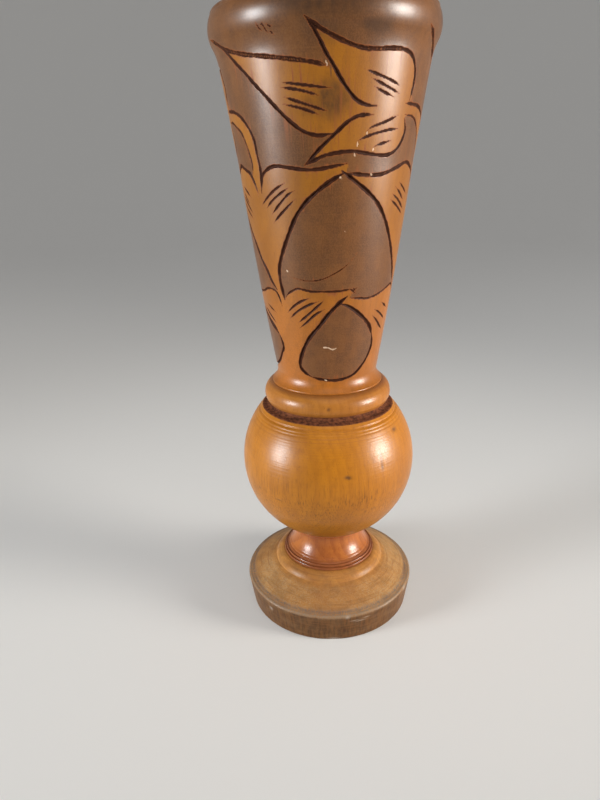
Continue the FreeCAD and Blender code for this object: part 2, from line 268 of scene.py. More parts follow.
SCRATCHES = [
    [(-33.5, 293.2), (-32.8, 291.5), (-31.2, 290.4)], [(-30.6, 293), (-29.8, 291), (-28.6, 289.6)],
    [(-28.8, 292.6), (-27, 291.4), (-25.8, 291.8)], [(-27.8, 290.2), (-26, 288.9)],
    [(-31.8, 292.2), (-30, 292.6)],
    [(16, 190), (18.5, 188.4), (21.5, 187.3)], [(17.5, 187.4), (20, 189.2), (22.5, 190.2)],
    [(18.5, 190.4), (21, 188.2)],
    [(9.5, 238.4), (12, 237), (14.8, 236.9)], [(146, 201), (151, 199.5)], [(-120, 262), (-117, 257)],
    [(95, 281), (99, 279.4), (102, 279.9)],
]
# Pale marks at the starts of some hatches and cuts: partly bare wood where the gouge took the finish off,
# partly painted glints where the cut walls catch the light.
BARE_AND_GLINT_MARKS = [
    [(-8, 161.4), (-2, 161.2), (2.5, 160.3), (7, 161)], [(-2, 279.5), (-1.2, 277.2)],
    [(15.6, 251), (15.6, 249)],
    [(21, 254.8), (20.8, 253.3)], [(25.8, 248.6), (25.6, 247.2)], [(14, 246.6), (14.4, 245.4)],
    [(25.5, 238.8), (26.8, 237.4)], [(5.6, 237.9), (7, 236.9)], [(-34, 198.4), (-33, 197.6)],
    [(-6, 144), (-3, 143.4)], [(9.6, 215.8), (10.4, 215.2)], [(128, 176), (133, 174.5)],
    [(-97, 228), (-93, 227)],
]
# Dark blots: degrees, height, the cup's radius there, half width and height, strength. Most are stain that
# has pooled;
# the wide blot across the front of the rim band, facing the camera, is a painted dark reflection, and the
# other rim-band blots repeat it round the rim.
SMUDGES = [
    (1, 266.5, 44, 9, 8.5, 0.85), (-8, 264, 43, 8, 4.5, 0.5), (21, 290.5, 49, 8, 3.6, 0.65),
    (-2, 299, 50, 26, 7, 0.9), (-2, 289, 49, 8, 5, 0.45), (60, 259, 42, 5, 5, 0.35),
    (118, 268, 44, 9, 7, 0.6),
    (-112, 266, 44, 9, 6, 0.6), (170, 298, 50, 26, 5, 0.6), (-100, 297, 50, 17, 5, 0.55),
    (75, 298, 50, 13, 5, 0.5),
    (150, 232, 38, 7, 4, 0.4), (-140, 178, 30, 6, 4, 0.4),
]

# The motif goes round three times. Each row of it is stretched between a left, a tip and a right angle.
LEAF_ANCHORS = [(-50, 8, 80), (-165, -113.7, -50), (80, 138, 195)]
PETAL_ANCHORS = [(-42, 8, 71), (-163, -113.7, -47), (76, 138, 193)]
HUMP_ANCHORS = [(-42, 14, 75), (-161, -105, -44), (76, 132, 197)]
SEED_ANCHORS = [(-32, 14, 47), (-145, -105, -50), (86, 132, 182)]
FINE_WIDTH = 0.55
PLAIN_WIDTH = 0.78
OPEN_WIDTH = 0.84
STRONG_WIDTH = 0.98
HATCH_WIDTH = 0.56
CREASE_WIDTH = 0.28
SCRATCH_WIDTH = 0.32
HAND_SHAKE = 0.25


def place(points, anchors, unit):
    """Points moved from the front motif to another turn of it."""
    if unit == 0:
        return [tuple(point) for point in points]
    home, goal = np.array(anchors[0], float), np.array(anchors[unit], float)
    result = []
    for angle, height in points:
        half = 0 if angle < home[1] else 1
        scale = (goal[half + 1] - goal[half]) / (home[half + 1] - home[half])
        result.append((goal[1] + (angle - home[1]) * scale, height))
    return result


def shaken(points, amount):
    """Points moved a little, as no two cuts by hand are the same."""
    moves = RNG.normal(0, amount, (len(points), 2))
    return [(angle + move[0] * 1.4, height + move[1]) for (angle, height), move in zip(points, moves)]


def smooth_line(points, count=12):
    """A soft curve through the points."""
    points = [np.array(point, float) for point in points]
    points = [2 * points[0] - points[1]] + points + [2 * points[-1] - points[-2]]
    result = []
    for before, start, end, after in zip(points, points[1:], points[2:], points[3:]):
        for part in np.arange(count) / count:
            square, cube = part * part, part ** 3
            result.append(0.5 * ((2 * start) + (end - before) * part
                                 + (2 * before - 5 * start + 4 * end - after) * square
                                 + (3 * start - before - 3 * end + after) * cube))
    result.append(points[-2])
    return np.array(result)


class Stroke:
    """One cut of the gouge: how much painted shade darkens its heart, or a pale mark, partly bare wood where
    it scratches the finish off and partly a painted glint.
    """

    def __init__(self, points, width, taper=5.0, thin=0.35, ink=1.0, bare_and_glint=False):
        self.line = smooth_line(points)
        self.width = width
        self.taper = taper
        self.thin = thin
        self.ink = ink
        self.bare_and_glint = bare_and_glint


def make_carving():
    """Every stroke on the cup, and the outlines of its pale and dark fields."""
    strokes, pale, dark = [], [], []
    for unit in range(3):
        shake = HAND_SHAKE if unit else 0

        def row(points, anchors=LEAF_ANCHORS):
            return shaken(place(points, anchors, unit), shake)

        def cut(lines, width, **how):
            strokes.extend(Stroke(points, width, **how) for points in lines)

        one_top, one_low = row(LEAF_ONE_TOP), row(LEAF_ONE_LOW)
        two_side, two_top = row(LEAF_TWO_SIDE), row(LEAF_TWO_TOP)
        three_top, three_low = row(LEAF_THREE_TOP), row(LEAF_THREE_LOW)
        stalk_out, stalk_in = row(STALK_OUT), row(STALK_IN)
        hump_left, hump_right = row(HUMP_LEFT), row(HUMP_RIGHT)
        petal_left, petal_right = row(PETAL_LEFT, PETAL_ANCHORS), row(PETAL_RIGHT, PETAL_ANCHORS)
        low_left, low_right = row(LOW_HUMP_LEFT, HUMP_ANCHORS), row(LOW_HUMP_RIGHT, HUMP_ANCHORS)
        seed_left, seed_low = row(SEED_LEFT, SEED_ANCHORS), row(SEED_LOW, SEED_ANCHORS)
        seed_right = row(SEED_RIGHT, SEED_ANCHORS)
        seed_low[0] = seed_left[-1]
        # The number after each width sets how much painted shade darkens the middle of a stroke: little in
        # the open strokes, full in the strong ones.
        cut((one_top, two_top, hump_right), OPEN_WIDTH, ink=0.25)
        cut((low_right, stalk_in, low_left), FINE_WIDTH, ink=0.6)
        cut((three_top, stalk_out, three_low, hump_left), PLAIN_WIDTH, ink=0.75)
        cut((one_low, two_side, seed_low), PLAIN_WIDTH)
        cut((petal_left, petal_right, seed_left, seed_right), STRONG_WIDTH)
        hatch = {"taper": 4.5, "thin": 0.2}
        cut((row(points) for points in LEAF_HATCHES + ZONE_HATCHES), HATCH_WIDTH, ink=0.8, **hatch)
        cut((row(points, HUMP_ANCHORS) for points in LOW_HATCHES), HATCH_WIDTH, ink=0.9, **hatch)
        cut([row(PETAL_CREASE, PETAL_ANCHORS)], CREASE_WIDTH, taper=12.0, thin=0.1)
        fork = place([(25.5, 263.9), (24, 260.7)], LEAF_ANCHORS, unit)
        pale.append(one_top + fork + one_low[::-1])
        pale.append(two_top + two_side[::-1])
        pale.append(three_top + [stalk_in[0]] + three_low[::-1])
        pale.append([fork[0]] + stalk_out + place([(78, 226), (74, 231)], LEAF_ANCHORS, unit)
                    + stalk_in[::-1] + [fork[1]])
        pale.append(hump_left + hump_right + place([(84, 224), (-54, 224)], LEAF_ANCHORS, unit))
        dark.append(petal_left[::-1] + petal_right + low_right[:-3][::-1] + low_left[::-1])
        dark.append(seed_left + seed_low[1:] + seed_right[1:])
    strokes += [Stroke(points, SCRATCH_WIDTH, taper=1.5) for points in SCRATCHES]
    strokes += [Stroke(points, SCRATCH_WIDTH, taper=2.0, bare_and_glint=True) for points in BARE_AND_GLINT_MARKS]
    return strokes, pale, dark


CARVED_FROM = 139.0
STAIN_ABOVE = 226.0


class CarvedField:
    """Depth of cut, colour of cut with the painted shade in its heart, and dark stain over the cup's wall, on
    a grid of angle and height.
    """

    def __init__(self, heights, radii, columns):
        self.heights = heights
        self.radii = radii
        self.angles = np.arange(columns) * 360 / columns - 180
        shape = (len(heights), columns)
        self.depth = np.zeros(shape)
        self.cut = np.zeros(shape)
        self.ink = np.zeros(shape)
        self.bare_and_glint = np.zeros(shape)
        self.stain = np.zeros(shape)

    def engrave(self, stroke):
        """Cut one stroke with a V gouge that bites deeper in its middle."""
        line = stroke.line
        radius = np.interp(line[:, 1], self.heights, self.radii)
        flat = np.radians(np.diff(line[:, 0])) * (radius[1:] + radius[:-1]) / 2
        lengths = np.hypot(flat, np.diff(line[:, 1]))
        along = np.concatenate([[0], np.cumsum(lengths)])
        total = along[-1]
        step = self.angles[1] - self.angles[0]
        columns = len(self.angles)
        phase = RNG.uniform(0, 6.3)
        for number in range(len(line) - 1):
            if lengths[number] < 1e-6:
                continue
            start, end = line[number], line[number + 1]
            near = radius[number]
            reach = stroke.width * 1.7
            low = np.searchsorted(self.heights, min(start[1], end[1]) - reach)
            high = np.searchsorted(self.heights, max(start[1], end[1]) + reach)
            aside = math.degrees(reach / near)
            first = math.floor((min(start[0], end[0]) - aside + 180) / step)
            last = math.ceil((max(start[0], end[0]) + aside + 180) / step)
            picks = np.arange(first, last + 1)
            across = np.radians(picks * step - 180 - start[0])[None, :] * near
            up = (self.heights[low:high] - start[1])[:, None]
            to_x = math.radians(end[0] - start[0]) * near
            to_y = end[1] - start[1]
            size = to_x ** 2 + to_y ** 2
            part = np.clip((across * to_x + up * to_y) / size, 0, 1)
            distance = np.hypot(across - part * to_x, up - part * to_y)
            here = along[number] + part * lengths[number]
            edge = np.minimum(here, total - here)
            fade = stroke.thin + (1 - stroke.thin) * smoothstep(0, min(stroke.taper, total / 2), edge)
            fade = fade * (1 + 0.10 * np.sin(here * 0.55 + phase) + 0.06 * np.sin(here * 1.7 + 2 * phase))
            share = distance / (stroke.width * fade)
            depth = stroke.width * 0.95 * fade * np.clip(1.02 - share, 0, 0.86)
            cut = fade ** 0.4 * (1 - smoothstep(0.72, 1.25, share))
            where = np.ix_(np.arange(low, high), picks % columns)
            self.depth[where] = np.maximum(self.depth[where], depth)
            if stroke.bare_and_glint:
                self.bare_and_glint[where] = np.maximum(self.bare_and_glint[where], cut)
                continue
            # Painted shade in the cut: the stroke's own amount in its middle, full towards its edges.
            ink = cut * (stroke.ink + (1 - stroke.ink) * smoothstep(0.4, 0.85, share))
            self.cut[where] = np.maximum(self.cut[where], cut)
            self.ink[where] = np.maximum(self.ink[where], ink)

    def inside(self, outline):
        """Which grid points lie within a closed outline."""
        line = smooth_line(outline, 4)
        middle = line[:, 0].mean()
        x = (np.mod(self.angles - middle + 180, 360) - 180 + middle)[None, :]
        y = self.heights[:, None]
        result = np.zeros((len(self.heights), len(self.angles)), bool)
        for (x0, y0), (x1, y1) in zip(line, np.roll(line, -1, axis=0)):
            if y0 == y1:
                continue
            crosses = (y0 > y) != (y1 > y)
            result ^= crosses & (x < (x1 - x0) * (y - y0) / (y1 - y0) + x0)
        return result

    def at(self, grid, heights, angles):
        """A grid's values at any heights and angles (degrees)."""
        columns = len(self.angles)
        across = np.mod((angles + 180) / 360 * columns, columns)
        left = np.floor(across).astype(int) % columns
        right = (left + 1) % columns
        part = across - np.floor(across)
        up = np.interp(heights, self.heights, np.arange(len(self.heights)))
        low = np.clip(np.floor(up).astype(int), 0, len(self.heights) - 2)
        rise = up - low
        lower = grid[low, left] * (1 - part) + grid[low, right] * part
        upper = grid[low + 1, left] * (1 - part) + grid[low + 1, right] * part
        return lower * (1 - rise) + upper * rise


def carve(heights, radii, columns):
    """The whole carved and stained pattern."""
    field = CarvedField(heights, radii, columns)
    strokes, pale, dark = make_carving()
    field.stain[heights > STAIN_ABOVE, :] = 1
    for outline in pale:
        field.stain[field.inside(outline)] = 0
    for outline in dark:
        field.stain[field.inside(outline)] = 1
    for stroke in strokes:
        field.engrave(stroke)
    return field


# Pieces

BOWL_COLUMNS = 720
BOWL_STEP = 0.42
BOWL_FACES = 190000
BOWL_WALL = 6.6
BOWL_NICKS = [(19.5, 188.6, 1.4, 0.9, 0.35), (12, 237.6, 1.0, 0.6, 0.3), (110, 296, 1.6, 1.0, 0.4),
              (-140, 300, 1.2, 1.4, 0.35), (-60, 303.6, 2.0, 0.8, 0.3)]


def bowl_outline():
    """The cup: its cove, flared wall, rolled lip, and the hollow inside."""
    base, top = base_of("bowl"), top_of("bowl")
    land = base + 0.8
    waist = (26.1, land + 5.8)
    belly = (40.9, base + 107)
    neck = (47.1, top - 21.2)
    lip = (49.8, top - 13.3)
    rim = 2.0
    outside = [(0, base), (29.0, base), (29.0, land)]
    outside += wall_arc(outside[-1], waist)
    outside += arc(waist, belly, 2100)
    outside.append(neck)
    outside += arc(neck, lip, 24, bulge=False)
    outside += arc(lip, (lip[0], top - rim), 12.9)
    outside += arc(outside[-1], (lip[0] - rim, top), rim)
    floor, floor_rise = base + 27, 13
    slope = (neck[0] - waist[0]) / (neck[1] - waist[1])
    floor_radius = waist[0] - BOWL_WALL + slope * (floor + floor_rise - waist[1])
    mouth = lip[0] - BOWL_WALL
    inside = [(mouth + 1.7, top), (mouth + 0.6, top - 0.6), (mouth, top - rim),
              (neck[0] - BOWL_WALL, neck[1]),
              (floor_radius, floor + floor_rise)]
    rounding = (floor_radius ** 2 + floor_rise ** 2) / (2 * floor_rise)
    curve = [(0, floor)] + arc((0, floor), inside[-1], rounding)
    return outside, inside + curve[::-1][1:]


def smooth_wall(piece, field, on_wall):
    """Give the thinned wall the normals of the full carved surface, so that highlights run smoothly."""
    radius, height, angle = vertex_polar(piece)
    degrees = np.degrees(angle)
    step = math.radians(field.angles[1] - field.angles[0])
    depth_up = np.gradient(field.depth, field.heights, axis=0)
    depth_round = (np.roll(field.depth, -1, axis=1) - np.roll(field.depth, 1, axis=1)) / (2 * step)
    in_cut = smoothstep(0.04, 0.2, field.at(field.depth, height, degrees))
    wall_slope = np.interp(height, field.heights, np.gradient(field.radii, field.heights))
    up = in_cut * field.at(depth_up, height, degrees) - wall_slope
    aside = in_cut * field.at(depth_round, height, degrees) / radius.clip(1)
    out = np.stack([np.sin(angle), -np.cos(angle), np.zeros_like(angle)], 1)
    along = np.stack([np.cos(angle), np.sin(angle), np.zeros_like(angle)], 1)
    normals = out + along * aside[:, None] + np.array([0, 0, 1]) * up[:, None]
    normals /= np.linalg.norm(normals, axis=1)[:, None]
    plain = ~on_wall | (height > top_of("bowl") - 3.5) | (height < CARVED_FROM + 1.5)
    normals[plain] = 0
    piece.data.normals_split_custom_set_from_vertices(normals)


def make_bowl():
    """The carved cup, dense where it is cut and thinned where it is plain."""
    outside, inside = bowl_outline()
    outer = resample(outside, BOWL_STEP)
    inner = resample(inside, 4.0)
    wall = outer[(outer[:, 1] > CARVED_FROM) & (outer[:, 0] > 20)]
    order = np.argsort(wall[:, 1], kind="stable")
    heights, keep = np.unique(wall[order, 1], return_index=True)
    radii = wall[order, 0][keep]
    field = carve(heights, radii, BOWL_COLUMNS)
    wall_radius = (heights, radii)

    def change(radius, height, angle):
        on_wall = (radius > np.interp(height, *wall_radius) - 2.5) & (height > CARVED_FROM)
        depth = field.at(field.depth, height, np.degrees(angle)) * on_wall
        ring = scored(height, [(143.2, 0.3, 0.15), (303.0, 0.3, 0.12)])
        marks = (ring + nicks(radius, height, angle, BOWL_NICKS)) * on_wall
        return marks - depth + wobble(angle, height, 3, 0.25)

    piece = lathe("bowl_carved", np.concatenate([outer, inner]), BOWL_COLUMNS, change)
    thin = piece.modifiers.new("thin", "DECIMATE")
    thin.ratio = min(1.0, BOWL_FACES / (2 * len(piece.data.polygons)))
    dense = piece.data
    depsgraph = bpy.context.evaluated_depsgraph_get()
    piece.data = bpy.data.meshes.new_from_object(piece.evaluated_get(depsgraph))
    piece.modifiers.clear()
    bpy.data.meshes.remove(dense)
    piece.data.name = "bowl_carved"
    radius, height, angle = vertex_polar(piece)
    on_wall = (radius > np.interp(height, *wall_radius) - 2.8) & (height > CARVED_FROM)
    degrees = np.degrees(angle)
    for name in ("cut", "ink", "bare_and_glint", "stain"):
        set_field(piece, name, field.at(getattr(field, name), height, degrees) * on_wall)
    set_field(piece, "within", (~on_wall) & (height > base_of("bowl") + 20) & (radius < 49))
    piece.data.shade_smooth()
    sharpen(piece, 55)
    smooth_wall(piece, field, on_wall)
    return piece


def make_knop():
    """The ball: a raised seat in a rough groove, fine lines turned round its top, a few dents."""
    low, high = base_of("knop"), top_of("knop")
    ball, seat, ledge, boss = 47.0, 18.8, 35.0, 31.4
    centre = low + math.sqrt(ball ** 2 - seat ** 2)
    shoulder = (ledge, centre + math.sqrt(ball ** 2 - ledge ** 2))
    outline = [(0, low), (seat, low)]
    outline += arc(outline[-1], (ball, centre), ball, steps=60)
    outline += arc(outline[-1], shoulder, ball, steps=60)
    outline += [(boss + 1.2, shoulder[1] + 0.5), (boss, shoulder[1] + 1.4), (boss, high), (0, high)]
    lines = [(shoulder[1] - 2.4, 0.42, 0.5), (shoulder[1] - 3.9, 0.3, 0.14), (shoulder[1] - 5.2, 0.3, 0.10)]
    rng = np.random.default_rng(11)
    for height in np.arange(centre + 4, shoulder[1] - 6, 0.9):
        lines.append((height + rng.uniform(-0.3, 0.3), 0.22, rng.uniform(0.01, 0.05)))
    dents = [(9, 100, 1.3, 0.9, 0.35), (10.5, 99.4, 0.7, 0.6, 0.25), (33, 107, 0.28, 3.2, 0.5),
             (33.5, 102, 0.2, 2.0, 0.3),
             (54, 115.5, 1.6, 1.0, 0.12), (-36, 84, 1.6, 0.35, 0.2), (150, 88, 1.8, 0.5, 0.3),
             (-120, 104, 0.8, 1.2, 0.3)]

    piece = lathe("knop_turned", resample(outline, 0.5), 248, worn(lines, dents, 5, 0.15))
    radius, height, angle = vertex_polar(piece)
    mark_dents(piece, dents)
    set_field(piece, "groove", (height > shoulder[1] - 0.3) & (radius < ledge + 0.2))
    sharpen(piece)
    return piece


def make_collar():
    """The fat bead over the ball."""
    low, high = base_of("collar"), top_of("collar")
    outline = [(0, low), (32.4, low)]
    outline += arc(outline[-1], (29.0, high), 7.0, steps=40)
    outline.append((0, high))
    lines = [(low + 8.2, 0.3, 0.06), (low + 1.2, 0.3, 0.06)]
    dents = [(-2, low + 4.6, 0.7, 0.9, 0.35), (140, low + 5, 1.0, 0.6, 0.3)]

    piece = lathe("collar_turned", resample(outline, 0.4), 256, worn(lines, dents, 6, 0.15))
    mark_dents(piece, dents)
    sharpen(piece)
    return piece


def make_stem():
    """The polished waist between foot and ball, with two beads at its base."""
    low, high = base_of("stem"), top_of("stem")
    bead, step, base = 1.5, 0.9, 26.0
    outline = [(0, low), (base, low)]
    outline += arc(outline[-1], (base, low + bead), bead, steps=10)
    outline.append((base - step, low + bead))
    outline += arc(outline[-1], (base - step, low + 2 * bead), bead, steps=10)
    outline.append((base - 2 * step, low + 2 * bead))
    outline += wall_arc(outline[-1], (18.5, high - 2.0), steps=40)
    outline += [(18.5, high), (0, high)]
    lines = [(low + 4.0, 0.25, 0.25), (low + 5.4, 0.3, 0.06), (high - 2.4, 0.3, 0.1)]

    piece = lathe("stem_turned", resample(outline, 0.3), 256, worn(lines, [], 8, 0.12))
    sharpen(piece)
    return piece


def make_foot():
    """The flared disc: a worn upper edge, a dusty cone, a dome, and a hollow underneath."""
    low, high = base_of("foot"), top_of("foot")
    rim_top, edge = low + 17.6, 1.6
    crease, seat = (31.4, rim_top + 8.7), (26.8, high)
    outline = [(0, low + 1.5), (33.6, low + 1.5), (34.0, low), (45.2, low), (46.0, low + 0.8),
               (48.4, low + 16)]
    outline += arc(outline[-1], (48.4 - edge, rim_top), edge, steps=12)
    outline.append(crease)
    outline += arc(crease, seat, 7.0, steps=24)
    outline.append((0, high))
    lines = [(crease[1] - 0.5, 0.35, 0.25), (crease[1] - 2.4, 0.3, 0.08), (rim_top + 0.8, 0.35, 0.25),
             (high - 1.2, 0.3, 0.10), (low + 3.0, 0.3, 0.05)]
    dents = [(-46, low + 12, 1.2, 1.0, 0.5), (14, low + 13.5, 2.2, 0.3, 0.3),
             (18, low + 12.5, 2.6, 0.3, 0.35),
             (22, low + 14.0, 1.6, 0.3, 0.3), (9, low + 16.5, 1.0, 0.7, 0.4), (60, low + 16.3, 1.6, 0.7, 0.4),
             (-75, low + 15.6, 2.0, 0.8, 0.4), (120, low + 16.2, 2.4, 0.8, 0.5),
             (-150, low + 9, 1.2, 1.5, 0.4),
             (0, low + 1, 3.0, 0.8, 0.3), (-100, low + 1, 2.0, 1.0, 0.5), (170, low + 16.4, 1.4, 0.6, 0.4)]

    def change(radius, height, angle):
        shown = radius > 26
        marks = scored(height, lines) + nicks(radius, height, angle, dents)
        return marks * shown + wobble(angle, height, 9, 0.2)

    piece = lathe("foot_turned", resample(outline, 0.5), 288, change)
    radius, height, angle = vertex_polar(piece)
    near_edge = np.exp(-(((radius - 47.4) / 1.0) ** 2 + ((height - rim_top + 0.4) / 1.1) ** 2))
    dusty = smoothstep(crease[0] - 1, crease[0] + 4, radius)
    dusty = dusty * smoothstep(rim_top - 1.0, rim_top + 0.4, height)
    grimy = np.exp(-(((radius - 45.4) / 1.3) ** 2 + ((height - rim_top - 0.5) / 1.2) ** 2))
    set_field(piece, "edge_wear", near_edge)
    set_field(piece, "edge_grime", grimy)
    set_field(piece, "dust", dusty)
    mark_dents(piece, dents)
    sharpen(piece)
    return piece


# Materials


SHEEN = 0.12


class Paint:
    """A material's node tree, with short calls for the nodes it needs."""

    def __init__(self, name):
        self.material = bpy.data.materials.new(name)
        self.material.use_nodes = True
        self.tree = self.material.node_tree
        self.tree.nodes.clear()
        self.place = self.node("ShaderNodeTexCoord").outputs["Object"]

    def node(self, kind, **settings):
        made = self.tree.nodes.new(kind)
        for name, value in settings.items():
            setattr(made, name, value)
        return made

    def feed(self, socket, value):
        """Link a socket or set a constant."""
        if isinstance(value, bpy.types.NodeSocket):
            self.tree.links.new(value, socket)
        elif isinstance(value, (tuple, list)) and len(value) == 3 and socket.type == "RGBA":
            socket.default_value = (*value, 1)
        else:
            socket.default_value = value

    def math(self, operation, first, second=0.0, third=0.0, clamp=False):
        made = self.node("ShaderNodeMath", operation=operation, use_clamp=clamp)
        for socket, value in zip(made.inputs, (first, second, third)):
            self.feed(socket, value)
        return made.outputs[0]

    def stretch(self, scale, shift=(0, 0, 0)):
        """Object coordinates in cells of the given number per metre along each axis."""
        made = self.node("ShaderNodeMapping")
        self.feed(made.inputs["Vector"], self.place)
        made.inputs["Scale"].default_value = scale
        made.inputs["Location"].default_value = shift
        return made.outputs[0]

    def noise(self, scale, detail=3.0, rough=0.55, shift=(0, 0, 0), distortion=0.0):
        """Soft noise from 0 to 1 with cells per metre along each axis."""
        made = self.node("ShaderNodeTexNoise")
        self.feed(made.inputs["Vector"], self.stretch(scale, shift))
        made.inputs["Scale"].default_value = 1
        made.inputs["Detail"].default_value = detail
        made.inputs["Roughness"].default_value = rough
        made.inputs["Distortion"].default_value = distortion
        return made.outputs["Fac"]

    def ramp(self, value, low, high, start=0.0, end=1.0):
        """Map low..high to start..end, held at both ends."""
        made = self.node("ShaderNodeMapRange", interpolation_type="SMOOTHSTEP")
        for name, setting in (("Value", value), ("From Min", low), ("From Max", high), ("To Min", start),
                              ("To Max", end)):
            self.feed(made.inputs[name], setting)
        return made.outputs[0]

    def mix(self, share, first, second, blend="MIX"):
        """Mix two colours."""
        made = self.node("ShaderNodeMix", data_type="RGBA", blend_type=blend)
        self.feed(made.inputs["Factor"], share)
        self.feed(made.inputs[6], first)
        self.feed(made.inputs[7], second)
        return made.outputs[2]

    def times(self, first, second):
        return self.math("MULTIPLY", first, second)

    def tint(self, colour, other, pattern, *bounds):
        """Mix a colour towards another where a pattern, ramped between bounds, is strong."""
        return self.mix(self.ramp(pattern, *bounds), colour, other)

    def field(self, name):
        """A number stored on the mesh."""
        return self.node("ShaderNodeAttribute", attribute_type="GEOMETRY", attribute_name=name).outputs["Fac"]

    def patch(self, degrees, height, radius, half_width, half_height, strength):
        """A soft blot round one point of the cup's wall (mm), strongest in its middle."""
        turn = math.radians(degrees)
        middle = (radius * math.sin(turn), -radius * math.cos(turn), height)
        halves = (half_width, half_width, half_height)
        local = self.stretch(tuple(1 / (half * MM) for half in halves),
                             tuple(-part / half for part, half in zip(middle, halves)))
        far = self.node("ShaderNodeVectorMath", operation="LENGTH")
        self.feed(far.inputs[0], local)
        return self.ramp(far.outputs["Value"], 0.25, 1.25, strength, 0.0)

    def height(self):
        """Height above the ground, in metres."""
        made = self.node("ShaderNodeSeparateXYZ")
        self.feed(made.inputs[0], self.place)
        return made.outputs["Z"]

    def rings(self, pith, spacing, wander):
        """Growth rings, 0 to 1 across each, round a pith line beside the piece."""
        made = self.node("ShaderNodeSeparateXYZ")
        self.feed(made.inputs[0], self.place)
        drift = self.noise((22, 22, 5), detail=2, shift=(pith[0] * 40, 3, 1))
        drift = self.math("MULTIPLY", self.math("SUBTRACT", drift, 0.5), wander)
        across = self.math("SUBTRACT", made.outputs["X"], pith[0])
        away = self.math("SUBTRACT", made.outputs["Y"], pith[1])
        lean = self.math("MULTIPLY_ADD", made.outputs["Z"], 0.035, drift)
        far = self.math("SQRT", self.math("ADD", self.math("POWER", across, 2), self.math("POWER", away, 2)))
        return self.math("FRACT", self.math("DIVIDE", self.math("ADD", far, lean), spacing))

    def finish(self, colour, roughness, bump_height, bump_strength, bump_distance, coat=0.0, coat_rough=0.2):
        """Close the material with a varnished surface."""
        bump = self.node("ShaderNodeBump")
        bump.inputs["Strength"].default_value = bump_strength
        bump.inputs["Distance"].default_value = bump_distance
        self.feed(bump.inputs["Height"], bump_height)
        surface = self.node("ShaderNodeBsdfPrincipled")
        self.feed(surface.inputs["Base Color"], colour)
        self.feed(surface.inputs["Roughness"], roughness)
        self.feed(surface.inputs["Normal"], bump.outputs[0])
        surface.inputs["Specular IOR Level"].default_value = SHEEN
        self.feed(surface.inputs["Coat Weight"], coat)
        surface.inputs["Coat Roughness"].default_value = coat_rough
        out = self.node("ShaderNodeOutputMaterial")
        self.tree.links.new(surface.outputs[0], out.inputs["Surface"])
        return self.material


class Wood:
    """The pattern shared by every wooden piece: rings, streaks, pores, blotches and turning lines."""

    def __init__(self, paint, pale, dark, pith=(0.09, 0.16), spacing=0.0042, ring_share=0.2,
                 streaky=0.5):
        ring = paint.rings(pith, spacing, 0.012)
        late = paint.times(paint.ramp(ring, 0.2, 0.92), paint.ramp(ring, 0.93, 1.0, 1.0, 0.0))
        self.streaks = paint.noise((700, 700, 30), detail=6, rough=0.62)
        self.pores = paint.ramp(paint.noise((3000, 3000, 260), detail=1, shift=(1, 5, 0)), 0.64, 0.74)
        self.blotch = paint.noise((34, 34, 20), detail=4, shift=(4, 2, 9))
        self.mottle = paint.noise((190, 190, 150), detail=4, shift=(1, 1, 6))
        self.lathe = paint.noise((4, 4, 1400), detail=3, shift=(0, 0, 3))
        colour = paint.mix(paint.times(late, ring_share), pale, dark)
        colour = paint.mix(paint.ramp(self.streaks, 0.45, 0.8, 0.0, streaky), colour, dark)
        colour = paint.tint(colour, dark, self.blotch, 0.38, 0.72, 0.0, 0.5)
        colour = paint.tint(colour, dark, self.mottle, 0.5, 0.8, 0.0, 0.4)
        colour = paint.tint(colour, dark, self.lathe, 0.5, 0.8, 0.0, 0.22)
        deep = tuple(part * 0.35 for part in dark)
        self.colour = paint.mix(paint.times(self.pores, 0.4), colour, deep)
        rise = paint.math("MULTIPLY_ADD", self.lathe, 0.15, self.streaks)
        self.relief = paint.math("SUBTRACT", rise, paint.times(self.pores, 0.5))
        self.grit = paint.noise((1700, 1700, 1500), detail=2, shift=(8, 3, 4))
        self.skin = paint.math("MULTIPLY_ADD", self.streaks, 0.25, self.grit)


def turned_wood(name, pale, dark, gloss, **settings):
    """Plain varnished wood."""
    paint = Paint(name)
    wood = Wood(paint, pale, dark, **settings)
    return paint, wood, paint.ramp(wood.mottle, 0.3, 0.7, gloss - 0.05, gloss + 0.08)


def knop_material():
    paint, wood, rough = turned_wood("knop_wood", (0.44, 0.155, 0.005), (0.25, 0.078, 0.003), 0.45,
                                     pith=(0.12, 0.05))
    up = paint.height()
    fleck = paint.ramp(paint.noise((2300, 2300, 110), detail=2, shift=(3, 1, 1)), 0.52, 0.68)
    low_half = paint.times(paint.ramp(up, 0.086, 0.104, 1.0, 0.0), fleck)
    colour = paint.mix(paint.times(low_half, 0.75), wood.colour, (0.14, 0.046, 0.004))
    turned_lines = paint.ramp(paint.noise((2, 2, 1900), detail=2, shift=(5, 0, 0)), 0.5, 0.68)
    top = paint.times(paint.ramp(up, 0.100, 0.116, 0.0, 0.55), turned_lines)
    colour = paint.mix(top, colour, (0.26, 0.085, 0.014))
    # Painted shade: the ball is painted darker towards its underside, above the stem.
    underside_shade = paint.ramp(up, 0.050, 0.076, 0.6, 0.0)
    colour = paint.mix(underside_shade, colour, (0.24, 0.085, 0.008))
    # The groove under the collar is painted near-black and mottled: painted shade in the gap between ball and
    # collar, over rough wood.
    mottled_groove_shade = paint.ramp(paint.noise((600, 600, 600), detail=4), 0.3, 0.7)
    groove = paint.field("groove")
    colour = paint.mix(groove, colour, paint.mix(mottled_groove_shade, (0.050, 0.016, 0.008), (0.19, 0.062, 0.026)))
    dent = paint.times(paint.field("dent"), 0.85)
    colour = paint.mix(dent, colour, (0.060, 0.024, 0.010))
    return paint.finish(colour, paint.math("MULTIPLY_ADD", groove, 0.35, rough), wood.relief, 0.28, 0.0004,
                        coat=paint.math("MULTIPLY_ADD", groove, -0.6, 0.6), coat_rough=0.31)


